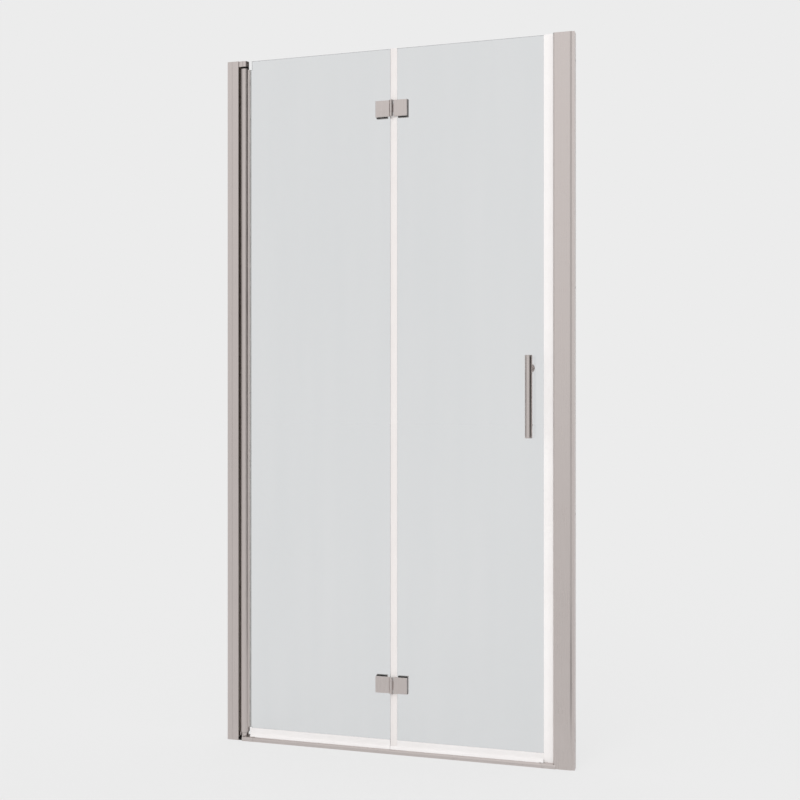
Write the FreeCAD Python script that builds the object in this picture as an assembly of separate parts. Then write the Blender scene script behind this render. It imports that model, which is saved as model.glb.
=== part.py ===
import FreeCAD, Part
import os

Vec = FreeCAD.Vector
os.makedirs("parts", exist_ok=True)

# Frame: X to the right as seen from outside, -Y outside, Z up, millimetres.
# The origin is the middle of the threshold's underside, and Y = 0 is the middle of the glass.

# Overall size of the door between its two walls.
door_width = 995.0
door_height = 1950.0

# Fits between neighbouring pieces.
running_fit = 0.05
seat_fit = 0.02
slide_fit = 0.3
soft_fit = 0.1
cap_fit = 0.2

# Glass panes.
glass_thickness = 6.0
glass_bottom = 22.0
glass_arris = 0.7
pane_gap_left = 4.3
pane_gap_right = 1.7

# Channels screwed to the walls.
channel_depth = 27.0
channel_web = 2.0
channel_wall = 1.6
hinge_channel_leg = 14.0
strike_channel_leg = 34.0
wall_hole_radius = 3.0
wall_hole_end = 75.0
wall_hole_span_inner = 600.0

# Jamb on the hinge side, which slides inside its channel.
pivot_jamb_reach = 33.5
pivot_jamb_setback = 2.0
pivot_jamb_depth = 26.8
pivot_jamb_wall = 1.5
pivot_jamb_web = 3.0
pivot_jamb_pocket = 5.0
pivot_jamb_groove = 0.3

# Jamb on the closing side, which slides over its channel.
strike_jamb_face = 56.5
strike_jamb_overlap = 7.5
strike_jamb_wall = 1.5
strike_jamb_round = 3.5
strike_bevel_length = 4.8
strike_bevel_drop = 1.2
strike_slot_width = 3.8

# Screws that fix each jamb to its channel, on the inside face.
jamb_screw_radius = 2.0
jamb_screw_play = 0.2
jamb_screw_head_radius = 4.0
jamb_screw_head = 2.2
jamb_screw_tip = 1.0
jamb_screw_end = 225.0
jamb_screw_count = 3
jamb_plug_thickness = 3.0

# Pivot: pins in fixed blocks, bushes in the turning stile.
pivot_from_wall = 48.6
pivot_pin_radius = 4.0
pivot_bush_radius = 6.0
pivot_bush_length = 20.0
pivot_flange_radius = 11.2
top_flange_height = 6.2
bottom_flange_height = 1.0
thrust_gap = 0.1
pivot_block_radius = 11.2
pivot_block_roof = 3.0
top_block_height = 15.6
top_block_neck = 21.0
top_block_gap = 6.4
bottom_block_bottom = 12.9
bottom_block_height = 9.4
bottom_block_neck = 10.0
block_screw_radius = 2.0
block_screw_play = 0.2
block_screw_head_radius = 3.5
block_screw_head = 2.4
block_screw_grip = 12.0

# Stile that clamps the pivot pane.
stile_radius = 13.3
stile_chamber_inner = 8.0
stile_chamber_outer = 11.7
stile_chamber_clear = 3.0
stile_slot_width = 9.0
stile_slot_start = 9.4
stile_lip_end = 15.4
stile_lip_wall = 2.0
stile_lip_bottom = 38.0
stile_lip_top_drop = 25.0
glass_from_pivot = 10.4
glass_notch_clear = 6.5
gasket_show = 2.8

# Fold hinges between the two panes, with the barrel on the outside.
fold_x = -7.7
hinge_inset = 166.0
hinge_height = 45.0
pivot_plate_width = 40.4
fold_plate_width = 39.2
hinge_plate_thickness = 5.0
hinge_plate_round = 1.2
hinge_pad_thickness = 1.0
hinge_clamp_thickness = 9.0
hinge_clamp_height = 49.0
hinge_axis_gap = 5.6
hinge_axis_proud = 1.0
pivot_clamp_width = 31.5
fold_clamp_width = 28.7
knuckle_radius = 4.8
knuckle_bridge = 4.0
knuckle_middle = 22.4
knuckle_gap = 0.3
hinge_pin_radius = 3.0
hinge_screw_radius = 2.5
hinge_screw_play = 0.3
hinge_screw_head_radius = 4.6
hinge_screw_head = 2.4
hinge_screw_grip = 3.4
hinge_screw_span = 22.0
hinge_hole_radius = 5.0

# White strips on the panes and on the closing jamb.
seal_bottom = 12.6
seal_wall = 1.3
fold_seal_clip = 14.0
fold_seal_reach = 5.3
fold_seal_nose = 5.6
seal_end_gap = 0.5
closing_seal_clip = 10.0
closing_seal_width = 12.0
closing_bulb = 6.6
strike_bulb = 8.3
strip_meeting_gap = 0.2
strip_round = 1.2
strip_root_neck = 3.4
strip_root_head = 7.0
strip_root_length = 2.4
magnet_thickness = 3.6
magnet_width = 8.4
magnet_end_inset = 3.0
bottom_seal_top = 36.2
bottom_seal_web = 1.5
bottom_seal_skirt = 1.6
bottom_skirt_clear = 0.5
bottom_skirt_notch = 5.0
bottom_skirt_flare = 6.0
bottom_skirt_slope = 8.0
bottom_fin_reach = 4.2
bottom_fin_thickness = 1.2

# Threshold rail and its end caps.
rail_front = 17.0
rail_back = 13.0
rail_height = 11.3
rail_wall = 1.6
rail_front_round = 5.0
rail_back_round = 3.0
rail_cap_wall = 0.8
rail_cap_sleeve = 18.0
rail_cap_past_pivot = 2.8
rail_cap_left_length = 33.2
rail_cap_right_length = 32.7
rail_cap_tongue = 6.0

# Bar handle outside, knob inside.
handle_inset = 46.5
handle_height = 986.0
handle_bar_radius = 10.0
handle_bar_length = 221.0
handle_bar_wall = 1.5
handle_standoff = 28.0
handle_spacing = 152.0
handle_post_radius = 5.0
handle_post_depth = 6.0
handle_bolt_radius = 3.0
handle_bolt_grip = 8.0
handle_washer_radius = 6.0
handle_washer = 1.0
handle_hole_radius = 4.6
handle_plug_thickness = 4.0
handle_plug_round = 1.2
rosette_radius = 12.8
rosette_thickness = 6.0
rosette_round = 2.0
knob_radius = 7.5
knob_length = 18.0
knob_round = 2.0
knob_grip = 10.0
lower_cap_radius = 5.2
lower_cap_length = 5.0
lower_cap_round = 1.2
lower_cap_grip = 3.5

# Places worked out from the sizes above.
left_wall = -door_width / 2
right_wall = door_width / 2
glass_half = glass_thickness / 2
channel_half = channel_depth / 2
channel_inner = channel_half - channel_wall
pivot_x = left_wall + pivot_from_wall
jamb_face_x = left_wall + pivot_jamb_reach
jamb_floor_x = jamb_face_x - pivot_jamb_pocket
jamb_web_x = jamb_floor_x - pivot_jamb_web
jamb_back_x = left_wall + channel_web + pivot_jamb_setback
jamb_half = pivot_jamb_depth / 2
jamb_step_x = left_wall + hinge_channel_leg + pivot_jamb_groove
jamb_lip_half = channel_inner - slide_fit
jamb_lip_inner = jamb_lip_half - pivot_jamb_wall
strike_x = right_wall - strike_jamb_face
strike_end_x = right_wall - strike_jamb_overlap
strike_inner = channel_half + slide_fit
strike_half = strike_inner + strike_jamb_wall
top_block_bottom = door_height - top_block_height
bottom_block_top = bottom_block_bottom + bottom_block_height
stile_top = top_block_bottom - top_block_gap
stile_bottom = bottom_block_top + thrust_gap + bottom_flange_height
lip_end_x = pivot_x + stile_lip_end
lip_top = door_height - stile_lip_top_drop
pane_left = pivot_x + glass_from_pivot
pane_notch_x = lip_end_x + glass_notch_clear
pane_right = fold_x - pane_gap_left
fold_pane_left = fold_x + pane_gap_right
root_head_x = strike_x + strike_jamb_wall + soft_fit
root_end_x = root_head_x + strip_root_length
strip_face_x = strike_x - strike_bulb
closing_face_x = strip_face_x - strip_meeting_gap
closing_web_x = closing_face_x - closing_bulb
fold_pane_right = closing_web_x - seal_wall - soft_fit
closing_seal_start = fold_pane_right - closing_seal_clip
fold_seal_end = fold_pane_left + fold_seal_clip
pad_half = glass_half + hinge_pad_thickness
plate_front = pad_half + hinge_plate_thickness
fold_y = -(plate_front + hinge_axis_proud)
hinge_heights = {
    "top": door_height - hinge_inset,
    "bottom": glass_bottom + hinge_inset,
}
clip_inner = glass_half + soft_fit / 2
clip_half = clip_inner + seal_wall
handle_x = fold_pane_right - handle_inset
handle_y = -(glass_half + handle_standoff)
upper_post_z = handle_height + handle_spacing / 2
lower_post_z = handle_height - handle_spacing / 2
cap_left_x = pivot_x - rail_cap_past_pivot
cap_left_inner = cap_left_x + rail_cap_left_length
cap_right_x = strike_x - slide_fit
cap_right_inner = cap_right_x - rail_cap_right_length
rail_left_x = cap_left_inner - rail_cap_sleeve
rail_right_x = cap_right_inner + rail_cap_sleeve


def box(x0, x1, y0, y1, z0, z1):
    return Part.makeBox(x1 - x0, y1 - y0, z1 - z0, Vec(x0, y0, z0))


def rod_x(y, z, radius, x0, x1):
    return Part.makeCylinder(radius, x1 - x0, Vec(x0, y, z), Vec(1, 0, 0))


def rod_y(x, z, radius, y0, y1):
    return Part.makeCylinder(radius, y1 - y0, Vec(x, y0, z), Vec(0, 1, 0))


def rod_z(x, y, radius, z0, z1):
    return Part.makeCylinder(radius, z1 - z0, Vec(x, y, z0), Vec(0, 0, 1))


def extrude_x(outline, x0, x1):
    corners = [Vec(x0, y, z) for y, z in outline]
    face = Part.Face(Part.makePolygon(corners + corners[:1]))
    return face.extrude(Vec(x1 - x0, 0, 0))


def fuse(shapes):
    return shapes[0].fuse(shapes[1:]).removeSplitter()


def cut(shape, tools):
    return shape.cut(tools)


def edges_along(shape, direction):
    """Straight edges of a shape that run along X, Y or Z."""
    axis = "XYZ".index(direction)
    found = []
    for edge in shape.Edges:
        ends = [vertex.Point for vertex in edge.Vertexes]
        if len(ends) == 2 and isinstance(edge.Curve, (Part.Line, Part.LineSegment)):
            run = ends[1] - ends[0]
            if abs(run[axis]) > 0.999 * run.Length:
                found.append(edge)
    return found


def edges_at(edges, **place):
    """Those of the edges whose middle lies at the given x, y or z."""
    kept = []
    for edge in edges:
        middle = edge.BoundBox.Center
        if all(abs(getattr(middle, axis) - value) < 1e-4 for axis, value in place.items()):
            kept.append(edge)
    return kept


def save(node, *solids):
    shape = solids[0] if len(solids) == 1 else Part.makeCompound(list(solids))
    shape.exportStep("parts/" + node + ".step")


def wall_hole_heights():
    middle = door_height / 2
    half_spans = (middle - wall_hole_end, wall_hole_span_inner / 2)
    return [middle + sign * half for half in half_spans for sign in (-1, 1)]


def jamb_screw_heights():
    step = (door_height - 2 * jamb_screw_end) / (jamb_screw_count - 1)
    return [jamb_screw_end + step * index for index in range(jamb_screw_count)]


def make_channel(wall_x, inward, leg, screw_x):
    """U channel with its web on the wall, drilled for wall screws and jamb screws."""
    tip_x = wall_x + inward * leg
    web_x = wall_x + inward * channel_web
    open_x = tip_x + inward * channel_web
    x0, x1 = sorted((wall_x, tip_x))
    h0, h1 = sorted((web_x, open_x))
    outer = box(x0, x1, -channel_half, channel_half, 0, door_height)
    tools = [box(h0, h1, -channel_inner, channel_inner, -1, door_height + 1)]
    w0, w1 = sorted((wall_x - inward, web_x + inward))
    for z in wall_hole_heights():
        tools.append(rod_x(0, z, wall_hole_radius, w0, w1))
    hole_radius = jamb_screw_radius + jamb_screw_play
    for z in jamb_screw_heights():
        tools.append(rod_y(screw_x, z, hole_radius, 0, channel_half + 1))
    return cut(outer, tools)


def pan_screw_y(x, z, seat_y, tip_y):
    """Screw along Y whose head sits on the inside face."""
    shank = rod_y(x, z, jamb_screw_radius, tip_y, seat_y)
    head = rod_y(x, z, jamb_screw_head_radius, seat_y, seat_y + jamb_screw_head)
    rim = edges_at(head.Edges, y=seat_y + jamb_screw_head)
    return fuse([shank, head.makeFillet(jamb_screw_head * 0.6, rim)])


# Hinge-side channel and jamb.
pivot_screw_x = (jamb_back_x + left_wall + hinge_channel_leg) / 2
save("hinge_wall_channel", make_channel(left_wall, 1, hinge_channel_leg, pivot_screw_x))

block_screw_heights = (
    (top_block_bottom + door_height) / 2,
    (bottom_block_bottom + bottom_block_top) / 2,
)


def make_pivot_jamb():
    """Section open to the wall, with guide lips behind and a pocket towards the stile in front."""
    face = box(jamb_step_x, jamb_face_x, -jamb_half, jamb_half, 0, door_height)
    lips = box(jamb_back_x, jamb_step_x, -jamb_lip_half, jamb_lip_half, 0, door_height)
    hollow_half = jamb_half - pivot_jamb_wall
    tools = [box(jamb_back_x - 1, jamb_web_x, -jamb_lip_inner, jamb_lip_inner, -1, door_height + 1)]
    tools.append(box(jamb_floor_x, jamb_face_x + 1, -hollow_half, hollow_half, -1, door_height + 1))
    for z in jamb_screw_heights():
        tools.append(rod_y(pivot_screw_x, z, jamb_screw_radius + seat_fit, 0, channel_half))
    for z in block_screw_heights:
        hole_radius = block_screw_radius + block_screw_play
        tools.append(rod_x(0, z, hole_radius, jamb_web_x - 1, jamb_face_x + 1))
    return cut(fuse([face, lips]), tools)


save("pivot_jamb", make_pivot_jamb())
pivot_screw_tip = jamb_lip_inner - jamb_screw_tip
save("pivot_jamb_screws", *[
    pan_screw_y(pivot_screw_x, z, channel_half, pivot_screw_tip) for z in jamb_screw_heights()
])

plug_half = jamb_lip_inner - cap_fit
plug_bottom = door_height - jamb_plug_thickness
save("pivot_jamb_plug", box(
    jamb_back_x, jamb_web_x - cap_fit, -plug_half, plug_half, plug_bottom, door_height
))

# Fixed pivot blocks with their pins and screws.
block_tip_x = jamb_floor_x + block_screw_grip


def make_pivot_block(z0, z1, neck_width, pin_z0, pin_z1):
    """Round block the size of the stile, with a neck that seats in the jamb's pocket."""
    disc = rod_z(pivot_x, 0, pivot_block_radius, z0, z1)
    neck = box(jamb_floor_x, pivot_x, -neck_width / 2, neck_width / 2, z0, z1)
    pin_hole = rod_z(pivot_x, 0, pivot_pin_radius + seat_fit, pin_z0, pin_z1)
    middle = (z0 + z1) / 2
    screw_hole = rod_x(0, middle, block_screw_radius + seat_fit, jamb_floor_x - 1, block_tip_x)
    return cut(fuse([disc, neck]), [pin_hole, screw_hole])


def make_block_screw(z):
    shank = rod_x(0, z, block_screw_radius, jamb_web_x, block_tip_x)
    head = rod_x(0, z, block_screw_head_radius, jamb_web_x - block_screw_head, jamb_web_x)
    return fuse([head, shank])


top_pin_top = door_height - pivot_block_roof
bottom_pin_bottom = bottom_block_bottom + pivot_block_roof
save("top_pivot_block", make_pivot_block(
    top_block_bottom, door_height, top_block_neck, top_block_bottom - 1, top_pin_top
))
save("bottom_pivot_block", make_pivot_block(
    bottom_block_bottom, bottom_block_top, bottom_block_neck, bottom_pin_bottom, bottom_block_top + 1
))
save("top_pivot_pin", rod_z(
    pivot_x, 0, pivot_pin_radius, stile_top - pivot_bush_length, top_pin_top
))
save("bottom_pivot_pin", rod_z(
    pivot_x, 0, pivot_pin_radius, bottom_pin_bottom, stile_bottom + pivot_bush_length
))
save("pivot_block_screws", *[make_block_screw(z) for z in block_screw_heights])

# Closing-side channel and jamb.
strike_screw_x = (strike_end_x - strike_bevel_length + right_wall - strike_channel_leg) / 2
save("strike_wall_channel", make_channel(right_wall, -1, strike_channel_leg, strike_screw_x))


def make_strike_jamb():
    """Cover open to the wall, with a keyed slot for the closing strip and bevelled rear edges."""
    outer = box(strike_x, strike_end_x, -strike_half, strike_half, 0, door_height)
    corners = edges_at(edges_along(outer, "Z"), x=strike_x)
    outer = outer.makeFillet(strike_jamb_round, corners)
    inner_x = strike_x + strike_jamb_wall
    hollow = box(inner_x, strike_end_x + 1, -strike_inner, strike_inner, -1, door_height + 1)
    hollow_corners = edges_at(edges_along(hollow, "Z"), x=inner_x)
    hollow = hollow.makeFillet(strike_jamb_round - strike_jamb_wall, hollow_corners)
    pocket_half = strip_root_head / 2 + cap_fit
    pocket_end = root_end_x + cap_fit
    keeper_half = pocket_half + strike_jamb_wall
    keeper_end = pocket_end + strike_jamb_wall
    keeper = box(inner_x, keeper_end, -keeper_half, keeper_half, -1, door_height + 1)
    slot_half = strike_slot_width / 2
    tools = [cut(hollow, [keeper])]
    tools.append(box(strike_x - 1, inner_x + 1, -slot_half, slot_half, -1, door_height + 1))
    tools.append(box(inner_x, pocket_end, -pocket_half, pocket_half, -1, door_height + 1))
    bevel_x = strike_end_x - strike_bevel_length
    for side in (-1, 1):
        corners = [
            Vec(bevel_x, side * strike_half, -1),
            Vec(strike_end_x, side * strike_half, -1),
            Vec(strike_end_x, side * (strike_half - strike_bevel_drop), -1),
        ]
        wedge = Part.Face(Part.makePolygon(corners + corners[:1]))
        tools.append(wedge.extrude(Vec(0, 0, door_height + 2)))
    for z in jamb_screw_heights():
        hole_radius = jamb_screw_radius + jamb_screw_play
        tools.append(rod_y(strike_screw_x, z, hole_radius, 0, strike_half + 1))
    return cut(outer, tools)


save("strike_jamb", make_strike_jamb())
strike_screw_tip = channel_inner - jamb_screw_tip
save("strike_jamb_screws", *[
    pan_screw_y(strike_screw_x, z, strike_half, strike_screw_tip) for z in jamb_screw_heights()
])
strike_plug_half = channel_inner - cap_fit
strike_plug_x = root_end_x + cap_fit + strike_jamb_wall + cap_fit
save("strike_jamb_plug", box(
    strike_plug_x, right_wall - channel_web - cap_fit,
    -strike_plug_half, strike_plug_half, plug_bottom, door_height
))


def make_magnet_bulb(x0, x1, cavity_x):
    """Rounded tube of a closing strip, hollow for its magnet."""
    half = closing_seal_width / 2
    bulb = box(x0, x1, -half, half, seal_bottom, door_height)
    bulb = bulb.makeFillet(strip_round, edges_along(bulb, "Z"))
    cavity_half = magnet_width / 2 + soft_fit
    cavity_end = cavity_x + magnet_thickness + 2 * soft_fit
    return bulb, box(cavity_x, cavity_end, -cavity_half, cavity_half, seal_bottom - 1, door_height + 1)


def make_magnet(cavity_x):
    x0 = cavity_x + soft_fit
    half = magnet_width / 2
    z0 = seal_bottom + magnet_end_inset
    z1 = door_height - magnet_end_inset
    return box(x0, x0 + magnet_thickness, -half, half, z0, z1)


def make_strike_seal():
    """Closing strip on the jamb, with a T root in the jamb's slot."""
    bulb, cavity = make_magnet_bulb(strip_face_x, strike_x, strip_face_x + seal_wall)
    neck_half = strip_root_neck / 2
    head_half = strip_root_head / 2
    neck = box(strike_x - seal_wall, root_head_x, -neck_half, neck_half, seal_bottom, door_height)
    head = box(root_head_x, root_end_x, -head_half, head_half, seal_bottom, door_height)
    return cut(fuse([bulb, neck, head]), [cavity])


def make_closing_seal():
    """Closing strip clipped on the free edge of the fold pane."""
    cavity_x = closing_face_x - seal_wall - magnet_thickness - 2 * soft_fit
    bulb, cavity = make_magnet_bulb(closing_web_x, closing_face_x, cavity_x)
    clip = box(closing_seal_start, closing_web_x + strip_round, -clip_half, clip_half,
               seal_bottom, door_height)
    slot = box(closing_seal_start - 1, fold_pane_right + soft_fit, -clip_inner, clip_inner,
               seal_bottom - 1, door_height + 1)
    return cut(fuse([bulb, clip]), [cavity, slot]), make_magnet(cavity_x)


save("strike_seal", make_strike_seal())
save("strike_magnet", make_magnet(strip_face_x + seal_wall))
closing_seal, door_magnet = make_closing_seal()
save("closing_seal", closing_seal)
save("door_magnet", door_magnet)


def rail_section(x0, x1, grow, z0):
    """Rail body with rounded top edges, grown or shrunk all round except at its underside."""
    front = -rail_front - grow
    back = rail_back + grow
    top = rail_height + grow
    body = box(x0, x1, front, back, z0, top)
    ridges = edges_along(body, "X")
    body = body.makeFillet(rail_front_round + grow, edges_at(ridges, y=front, z=top))
    ridges = edges_along(body, "X")
    return body.makeFillet(rail_back_round + grow, edges_at(ridges, y=back, z=top))


# Threshold rail, a hollow profile capped at both ends.
rail_bore = rail_section(rail_left_x - 1, rail_right_x + 1, -rail_wall, rail_wall)
save("threshold_rail", cut(rail_section(rail_left_x, rail_right_x, 0, 0), [rail_bore]))


def make_rail_cap(x0, x1, pocket_x0, pocket_x1):
    """Cap that sleeves over the rail's end."""
    pocket = rail_section(pocket_x0, pocket_x1, cap_fit, 0)
    return cut(rail_section(x0, x1, rail_cap_wall, 0), [pocket])


def make_cap_tongue():
    """Front of the closing-side cap, which laps over the jamb's face."""
    x0 = cap_right_x - 1
    x1 = strike_x + rail_cap_tongue
    reach = box(x0, x1, -rail_front - rail_cap_wall, -strike_half - slide_fit,
                0, rail_height + rail_cap_wall)
    return rail_section(x0, x1, rail_cap_wall, 0).common(reach)


save("rail_cap_hinge", make_rail_cap(
    cap_left_x, cap_left_inner, rail_left_x - cap_fit, cap_left_inner + 1
))
strike_cap = make_rail_cap(
    cap_right_inner, cap_right_x, cap_right_inner - 1, rail_right_x + cap_fit
)
save("rail_cap_strike", fuse([strike_cap, make_cap_tongue()]))

# Pivot stile with its bushes and glazing.
slot_half = stile_slot_width / 2
slot_x = pivot_x + stile_slot_start
lip_half = slot_half + stile_lip_wall


def make_stile():
    """Round profile with a pin bore, a crescent chamber and a lipped slot for the pane."""
    round_body = rod_z(pivot_x, 0, stile_radius, stile_bottom, stile_top)
    lips = box(slot_x, lip_end_x, -lip_half, lip_half, stile_lip_bottom, lip_top)
    bore = rod_z(pivot_x, 0, pivot_bush_radius, stile_bottom - 1, stile_top + 1)
    slot = box(slot_x, lip_end_x + 1, -slot_half, slot_half, stile_bottom - 1, stile_top + 1)
    ring = rod_z(pivot_x, 0, stile_chamber_outer, stile_bottom - 1, stile_top + 1)
    core = rod_z(pivot_x, 0, stile_chamber_inner, stile_bottom - 1, stile_top + 1)
    left_part = box(pivot_x - stile_radius, pivot_x - stile_chamber_clear,
                    -stile_radius, stile_radius, stile_bottom - 1, stile_top + 1)
    chamber = cut(ring, [core]).common(left_part)
    return cut(fuse([round_body, lips]), [bore, slot, chamber])


def make_bush(flange_z0, flange_z1, spigot_z0, spigot_z1):
    flange = rod_z(pivot_x, 0, pivot_flange_radius, flange_z0, flange_z1)
    spigot = rod_z(pivot_x, 0, pivot_bush_radius - seat_fit, spigot_z0, spigot_z1)
    z0 = min(flange_z0, spigot_z0)
    z1 = max(flange_z1, spigot_z1)
    bore = rod_z(pivot_x, 0, pivot_pin_radius + running_fit, z0 - 1, z1 + 1)
    return cut(fuse([flange, spigot]), [bore])


save("pivot_stile", make_stile())
save("top_pivot_bush", make_bush(
    stile_top, stile_top + top_flange_height, stile_top - pivot_bush_length, stile_top
))
save("bottom_pivot_bush", make_bush(
    stile_bottom - bottom_flange_height, stile_bottom, stile_bottom, stile_bottom + pivot_bush_length
))

gasket_half = slot_half - soft_fit
gasket = box(slot_x + soft_fit, lip_end_x + gasket_show, -gasket_half, gasket_half,
             stile_lip_bottom, lip_top)
gasket_slot = box(pane_left - soft_fit, lip_end_x + gasket_show + 1, -clip_inner, clip_inner,
                  stile_lip_bottom - 1, lip_top + 1)
save("glazing_gasket", cut(gasket, [gasket_slot]))

# Panes.


def arris_edges(pane):
    """Ground all long edges of a pane's two faces."""
    long_edges = edges_along(pane, "X") + edges_along(pane, "Z")
    return pane.makeChamfer(glass_arris, long_edges)


def plate_end_x(side):
    """Far end of a hinge plate: side -1 is on the pivot pane, side 1 on the fold pane."""
    width = pivot_plate_width if side < 0 else fold_plate_width
    return fold_x + side * (hinge_axis_gap + width)


def hinge_screw_places(side):
    """Screw axes of one leaf, as X and Z, for both hinges."""
    width = pivot_clamp_width if side < 0 else fold_clamp_width
    x = plate_end_x(side) - side * width / 2
    half = hinge_screw_span / 2
    return [(x, z + sign * half) for z in hinge_heights.values() for sign in (-1, 1)]


def hinge_glass_holes(side):
    return [
        rod_y(x, z, hinge_hole_radius, -glass_thickness, glass_thickness)
        for x, z in hinge_screw_places(side)
    ]


pivot_pane = fuse([
    box(pane_notch_x, pane_right, -glass_half, glass_half, glass_bottom, door_height),
    box(pane_left, pane_notch_x, -glass_half, glass_half, stile_lip_bottom, lip_top),
])
save("pivot_pane", cut(arris_edges(pivot_pane), hinge_glass_holes(-1)))

fold_pane = box(fold_pane_left, fold_pane_right, -glass_half, glass_half, glass_bottom, door_height)
fold_pane_holes = hinge_glass_holes(1)
for post_z in (upper_post_z, lower_post_z):
    fold_pane_holes.append(
        rod_y(handle_x, post_z, handle_hole_radius, -glass_thickness, glass_thickness)
    )
save("fold_pane", cut(arris_edges(fold_pane), fold_pane_holes))


# Fold hinges.
def span(a, b):
    return (a, b) if a < b else (b, a)


def make_hinge_plate(side, middle_z):
    """Outer plate of one leaf with its knuckles: side -1 has the outer two, side 1 the middle one."""
    half = hinge_height / 2
    inner_x = fold_x + side * hinge_axis_gap
    outer_x = plate_end_x(side)
    x0, x1 = span(inner_x, outer_x)
    plate = box(x0, x1, -plate_front, -pad_half, middle_z - half, middle_z + half)
    front_edges = edges_at(plate.Edges, y=-plate_front)
    plate = plate.makeFillet(hinge_plate_round, front_edges)
    middle_half = knuckle_middle / 2
    if side > 0:
        ranges = [(middle_z - middle_half, middle_z + middle_half)]
    else:
        reach = middle_half + knuckle_gap
        ranges = [(middle_z - half, middle_z - reach), (middle_z + reach, middle_z + half)]
    pieces = [plate]
    bridge_x0, bridge_x1 = span(fold_x, inner_x + side * hinge_plate_round * 2)
    bridge_y0 = -plate_front + hinge_plate_round
    for z0, z1 in ranges:
        pieces.append(rod_z(fold_x, fold_y, knuckle_radius, z0, z1))
        pieces.append(box(bridge_x0, bridge_x1, bridge_y0 - hinge_plate_round / 2,
                          bridge_y0 + knuckle_bridge - hinge_plate_round, z0, z1))
    fit = running_fit if side > 0 else seat_fit
    tools = [rod_z(fold_x, fold_y, hinge_pin_radius + fit, middle_z - half - 1, middle_z + half + 1)]
    for x, z in hinge_screw_places(side):
        if abs(z - middle_z) < half:
            depth = pad_half + hinge_screw_grip
            tools.append(rod_y(x, z, hinge_screw_radius + seat_fit, -depth, 0))
    return cut(fuse(pieces), tools)


def clamp_range(side):
    width = pivot_clamp_width if side < 0 else fold_clamp_width
    outer_x = plate_end_x(side)
    return span(outer_x, outer_x - side * width)


def make_hinge_clamp(side, middle_z):
    """Inner plate of one leaf, countersunk for its screws."""
    x0, x1 = clamp_range(side)
    half = hinge_clamp_height / 2
    back = pad_half + hinge_clamp_thickness
    clamp = box(x0, x1, pad_half, back, middle_z - half, middle_z + half)
    clamp = clamp.makeFillet(hinge_plate_round, edges_at(clamp.Edges, y=back))
    tools = []
    play = hinge_screw_play
    for x, z in hinge_screw_places(side):
        if abs(z - middle_z) < half:
            tools.append(rod_y(x, z, hinge_screw_radius + play, 0, back + 1))
            sink = Part.makeCone(hinge_screw_radius + play, hinge_screw_head_radius + play,
                                 hinge_screw_head, Vec(x, back - hinge_screw_head, z), Vec(0, 1, 0))
            tools.append(sink)
    return cut(clamp, tools)


def make_hinge_pads(side):
    """Soft pads on both faces of the pane, one pair at each hinge."""
    x0, x1 = clamp_range(side)
    holes = [
        rod_y(x, z, hinge_screw_radius + hinge_screw_play, -pad_half - 1, pad_half + 1)
        for x, z in hinge_screw_places(side)
    ]
    pads = []
    for middle_z in hinge_heights.values():
        for height, y0, y1 in (
            (hinge_height, -pad_half, -glass_half),
            (hinge_clamp_height, glass_half, pad_half),
        ):
            pads.append(cut(box(x0, x1, y0, y1, middle_z - height / 2, middle_z + height / 2), holes))
    return pads


def make_hinge_sleeves(side):
    """Plastic sleeves that line the screw holes of a pane."""
    sleeves = []
    for x, z in hinge_screw_places(side):
        outer = rod_y(x, z, hinge_hole_radius - soft_fit, -glass_half, glass_half)
        inner = rod_y(x, z, hinge_screw_radius + hinge_screw_play / 2, -glass_half - 1, glass_half + 1)
        sleeves.append(cut(outer, [inner]))
    return sleeves


def make_hinge_screws(side):
    """Countersunk screws from the inside, ending blind in the outer plate."""
    back = pad_half + hinge_clamp_thickness
    tip = -(pad_half + hinge_screw_grip - hinge_screw_play)
    screws = []
    for x, z in hinge_screw_places(side):
        head_y = back - hinge_screw_head
        shank = rod_y(x, z, hinge_screw_radius, tip, head_y)
        head = Part.makeCone(hinge_screw_radius, hinge_screw_head_radius, hinge_screw_head,
                             Vec(x, head_y, z), Vec(0, 1, 0))
        screws.append(fuse([shank, head]))
    return screws


for place, middle_z in hinge_heights.items():
    pin_half = hinge_height / 2
    save(place + "_hinge_pivot_plate", make_hinge_plate(-1, middle_z))
    save(place + "_hinge_fold_plate", make_hinge_plate(1, middle_z))
    save(place + "_hinge_pivot_clamp", make_hinge_clamp(-1, middle_z))
    save(place + "_hinge_fold_clamp", make_hinge_clamp(1, middle_z))
    save(place + "_hinge_pin", rod_z(
        fold_x, fold_y, hinge_pin_radius, middle_z - pin_half, middle_z + pin_half
    ))
for leaf, side in (("pivot", -1), ("fold", 1)):
    save(leaf + "_hinge_pads", *make_hinge_pads(side))
    save(leaf + "_hinge_sleeves", *make_hinge_sleeves(side))
    save(leaf + "_hinge_screws", *make_hinge_screws(side))


# Strips on the panes.
def make_fold_seal(z0, z1):
    """Clip on the fold pane's hinge edge with a round nose that fills the gap between the panes."""
    web_x = fold_pane_left - soft_fit - seal_wall
    clip = box(web_x, fold_seal_end, -clip_half, clip_half, z0, z1)
    slot = box(fold_pane_left - soft_fit, fold_seal_end + 1, -clip_inner, clip_inner, z0 - 1, z1 + 1)
    nose_half = fold_seal_nose / 2
    nose_x = fold_pane_left - fold_seal_reach + nose_half
    nose = fuse([
        rod_z(nose_x, 0, nose_half, z0, z1),
        box(nose_x, web_x + seal_wall / 2, -nose_half, nose_half, z0, z1),
    ])
    return cut(fuse([clip, nose]), [slot])


def fold_seal_ranges():
    """Lengths of the strip below, between and above the hinges."""
    reach = hinge_height / 2 + seal_end_gap
    low = hinge_heights["bottom"]
    high = hinge_heights["top"]
    return [(seal_bottom, low - reach), (low + reach, high - reach), (high + reach, door_height)]


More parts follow.
